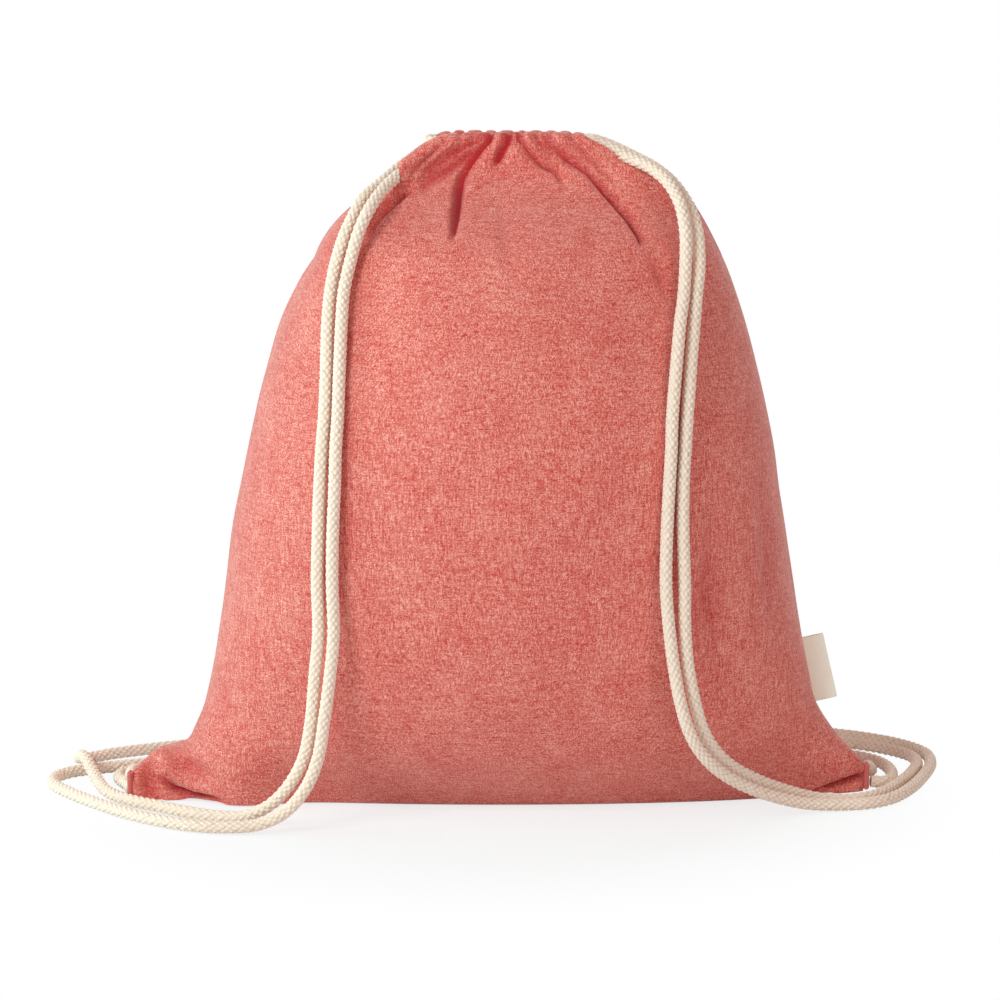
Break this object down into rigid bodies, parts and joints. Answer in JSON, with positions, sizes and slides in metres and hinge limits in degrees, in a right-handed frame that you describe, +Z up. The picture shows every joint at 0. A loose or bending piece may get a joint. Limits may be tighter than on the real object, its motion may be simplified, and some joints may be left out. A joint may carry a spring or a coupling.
{
  "type": "drawstring sack",
  "caption": "Stuffed cotton drawstring sack standing upright, its gathered mouth closed by braided cords that run down to the bottom corners as shoulder straps.",
  "frame": {"origin": "on the floor, under the middle of the sack's box without the free strands of the straps", "axes": "+Z up through the mouth, +X along the bottom seam to the right corner, the front with the straps faces -Y"},
  "size_m": [0.4632, 0.2231, 0.3383],
  "materials": {
    "cloth": "red and white chambray weave, matte",
    "seam": "overcast cloth edge, matte",
    "cord": "natural cotton braid, matte",
    "thread": "sewing thread, satin",
    "ribbon": "plain woven ribbon, matte"
  },
  "bodies": {
    "sack": {"front_panel": "cloth", "back_panel": "cloth", "left_side_seam": "seam", "right_side_seam": "seam", "bottom_seam": "seam", "left_cord_bight": "cord", "right_cord_bight": "cord", "left_strap_front_strand": "cord", "left_strap_rear_strand": "cord", "right_strap_front_strand": "cord", "right_strap_rear_strand": "cord", "left_corner_tack": "thread", "right_corner_tack": "thread"},
    "front_lip": {"front_hem": "cloth", "left_cord_front_run": "cord", "right_cord_front_run": "cord"},
    "back_lip": {"back_hem": "cloth", "left_cord_rear_run": "cord", "right_cord_rear_run": "cord"},
    "label": {"side_label": "ribbon"}
  },
  "joints": [
    {"name": "front_lip_open", "type": "hinge", "parent": "sack", "child": "front_lip", "pos_m": [0.006, -0.014, 0.3203], "axis": [1, 0, 0], "range_deg": [0, 45]},
    {"name": "back_lip_open", "type": "hinge", "parent": "sack", "child": "back_lip", "pos_m": [0.006, 0.014, 0.3203], "axis": [-1, 0, 0], "range_deg": [0, 45]},
    {"name": "label_flap", "type": "hinge", "parent": "sack", "child": "label", "pos_m": [0.16149, 0, 0.04723], "axis": [-0.2295, 0, 0.9733], "range_deg": [-85, 85]}
  ]
}
